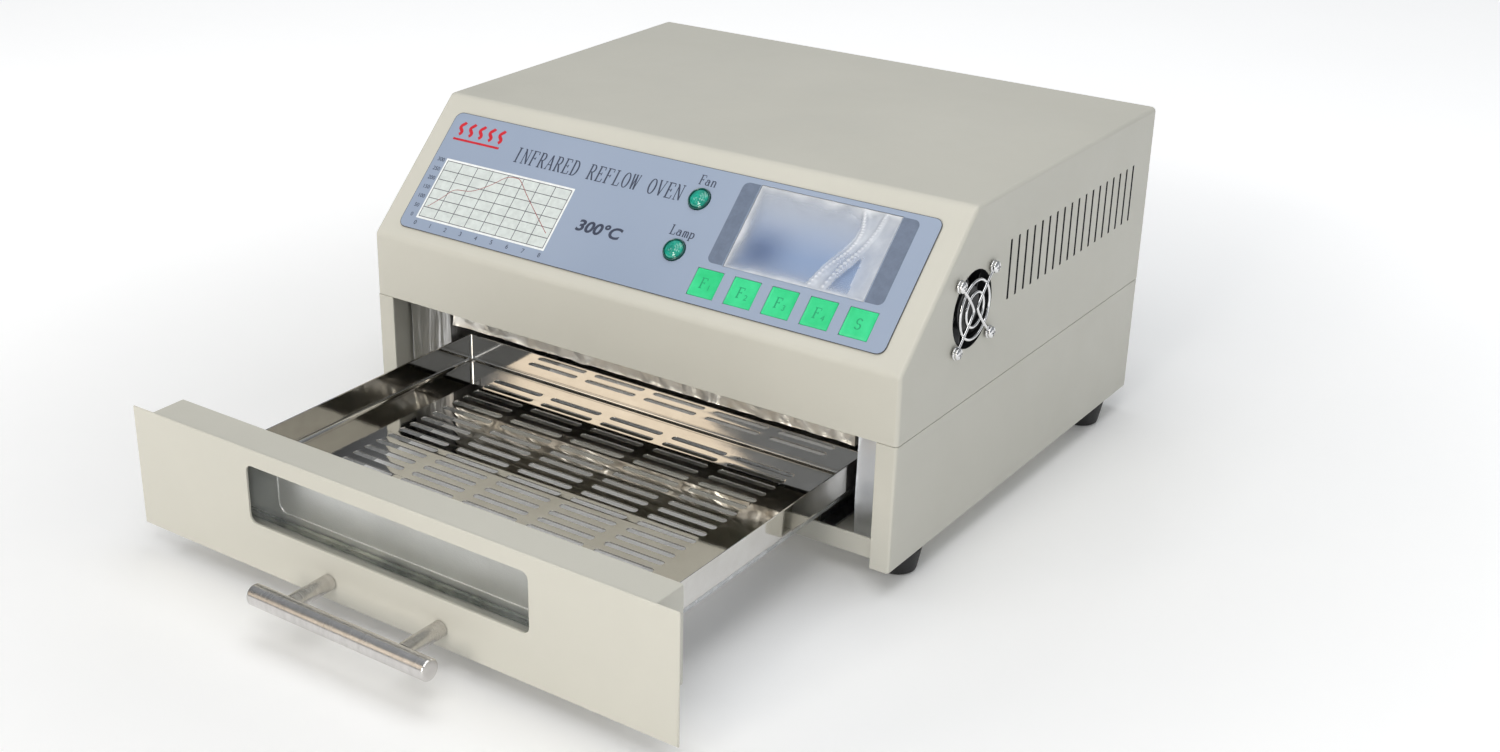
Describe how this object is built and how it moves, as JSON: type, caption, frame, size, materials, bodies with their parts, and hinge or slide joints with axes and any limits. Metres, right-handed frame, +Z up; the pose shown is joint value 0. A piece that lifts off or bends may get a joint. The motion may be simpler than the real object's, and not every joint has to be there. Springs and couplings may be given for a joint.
{
  "type": "reflow oven",
  "caption": "Benchtop infrared reflow oven: sheet-metal case with slanted control panel, louvred sides, and an open drawer carrying a slotted polished tray, window and bar handle.",
  "frame": {"origin": "centre of the bounding box's bottom face with the drawer open, on the surface the feet stand on", "axes": "+Z up, +X to the oven's right-hand side seen from the front, the front and the open drawer face -Y"},
  "size_m": [0.3143, 0.4562, 0.17],
  "materials": {
    "ivory_paint": "fine textured warm ivory powder coat",
    "mirror_steel": "mirror-polished stainless sheet",
    "zinc_plate": "zinc-plated steel",
    "brushed_steel": "satin brushed stainless steel",
    "chrome": "bright plated wire and screws",
    "foil": "mineral wool wrapped in wrinkled aluminium foil",
    "black_rubber": "matt black moulded rubber",
    "black_plastic": "satin black moulded plastic",
    "overlay_film": "blue-grey printed membrane, satin",
    "green_key": "bright green translucent, satin",
    "green_lens": "deep green glossy lens",
    "clear_film": "clear film, slightly wrinkled",
    "screen_glass": "dull blue liquid crystal screen, unlit",
    "window_glass": "clear heat-resistant glass, faint green edge",
    "quartz": "milky quartz with ceramic end caps",
    "circuit_board": "green solder mask with components"
  },
  "bodies": {
    "case": {"base_chassis": "ivory_paint", "chamber_liner": "mirror_steel", "control_board": "circuit_board", "control_overlay": "overlay_film", "display_module": "screen_glass", "display_window": "clear_film", "exhaust_fan_frame": "black_plastic", "exhaust_fan_guard": "chrome", "fan_indicator": "green_lens", "fixed_rail_left": "zinc_plate", "fixed_rail_right": "zinc_plate", "foot_front_left": "black_rubber", "foot_front_right": "black_rubber", "foot_rear_left": "black_rubber", "foot_rear_right": "black_rubber", "fuse_holder": "black_plastic", "heater_tube_1": "quartz", "heater_tube_2": "quartz", "heater_tube_3": "quartz", "heater_tube_4": "quartz", "insulation_front": "foil", "insulation_left": "foil", "insulation_rear": "foil", "insulation_right": "foil", "insulation_top": "foil", "lamp_indicator": "green_lens", "power_board": "circuit_board", "power_inlet": "black_plastic", "power_switch_frame": "black_plastic", "rear_panel": "ivory_paint", "side_fan_frame": "black_plastic", "side_fan_guard": "chrome", "side_fan_screw_1": "chrome", "side_fan_screw_2": "chrome", "side_fan_screw_3": "chrome", "side_fan_screw_4": "chrome", "thermocouple": "brushed_steel", "top_cover": "ivory_paint", "tube_bracket_left": "zinc_plate", "tube_bracket_right": "zinc_plate"},
    "drawer": {"drawer_front": "ivory_paint", "window_glass": "window_glass", "drawer_back_plate": "brushed_steel", "handle_bar": "brushed_steel", "handle_post_left": "brushed_steel", "handle_post_right": "brushed_steel", "work_tray": "mirror_steel", "tray_frame": "zinc_plate", "moving_rail_left": "zinc_plate", "moving_rail_right": "zinc_plate"},
    "ball_cage_left": {"ball_cage_left": "brushed_steel"},
    "ball_cage_right": {"ball_cage_right": "brushed_steel"},
    "key_f1": {"key_f1": "green_key"},
    "key_f2": {"key_f2": "green_key"},
    "key_f3": {"key_f3": "green_key"},
    "key_f4": {"key_f4": "green_key"},
    "key_s": {"key_s": "green_key"},
    "side_fan_rotor": {"side_fan_rotor": "black_plastic"},
    "exhaust_fan_rotor": {"exhaust_fan_rotor": "black_plastic"},
    "power_switch_rocker": {"power_switch_rocker": "black_plastic"}
  },
  "joints": [
    {"name": "drawer_slide", "type": "slide", "parent": "case", "child": "drawer", "axis": [0, -1, 0], "range_m": [-0.1623, 0]},
    {"name": "ball_cage_left_slide", "type": "slide", "parent": "case", "child": "ball_cage_left", "axis": [0, -1, 0], "range_m": [-0.0812, 0]},
    {"name": "ball_cage_right_slide", "type": "slide", "parent": "case", "child": "ball_cage_right", "axis": [0, -1, 0], "range_m": [-0.0812, 0]},
    {"name": "key_f1_press", "type": "slide", "parent": "case", "child": "key_f1", "axis": [0, 0.6929, -0.7211], "range_m": [0, 0.0008], "stiffness_N_per_m": 400, "springref_m": -0.0004},
    {"name": "key_f2_press", "type": "slide", "parent": "case", "child": "key_f2", "axis": [0, 0.6929, -0.7211], "range_m": [0, 0.0008], "stiffness_N_per_m": 400, "springref_m": -0.0004},
    {"name": "key_f3_press", "type": "slide", "parent": "case", "child": "key_f3", "axis": [0, 0.6929, -0.7211], "range_m": [0, 0.0008], "stiffness_N_per_m": 400, "springref_m": -0.0004},
    {"name": "key_f4_press", "type": "slide", "parent": "case", "child": "key_f4", "axis": [0, 0.6929, -0.7211], "range_m": [0, 0.0008], "stiffness_N_per_m": 400, "springref_m": -0.0004},
    {"name": "key_s_press", "type": "slide", "parent": "case", "child": "key_s", "axis": [0, 0.6929, -0.7211], "range_m": [0, 0.0008], "stiffness_N_per_m": 400, "springref_m": -0.0004},
    {"name": "side_fan_spin", "type": "hinge", "parent": "case", "child": "side_fan_rotor", "pos_m": [0.148, 0.0314, 0.12115], "axis": [1, 0, 0], "continuous": true},
    {"name": "exhaust_fan_spin", "type": "hinge", "parent": "case", "child": "exhaust_fan_rotor", "pos_m": [0.045, 0.2111, 0.07865], "axis": [0, 1, 0], "continuous": true},
    {"name": "power_switch_rock", "type": "hinge", "parent": "case", "child": "power_switch_rocker", "pos_m": [-0.075, 0.2216, 0.04665], "axis": [1, 0, 0], "range_deg": [-16, 0]}
  ],
  "couplings": [
    {"joint": "ball_cage_left_slide", "follows": "drawer_slide", "ratio": 0.5},
    {"joint": "ball_cage_right_slide", "follows": "drawer_slide", "ratio": 0.5}
  ]
}
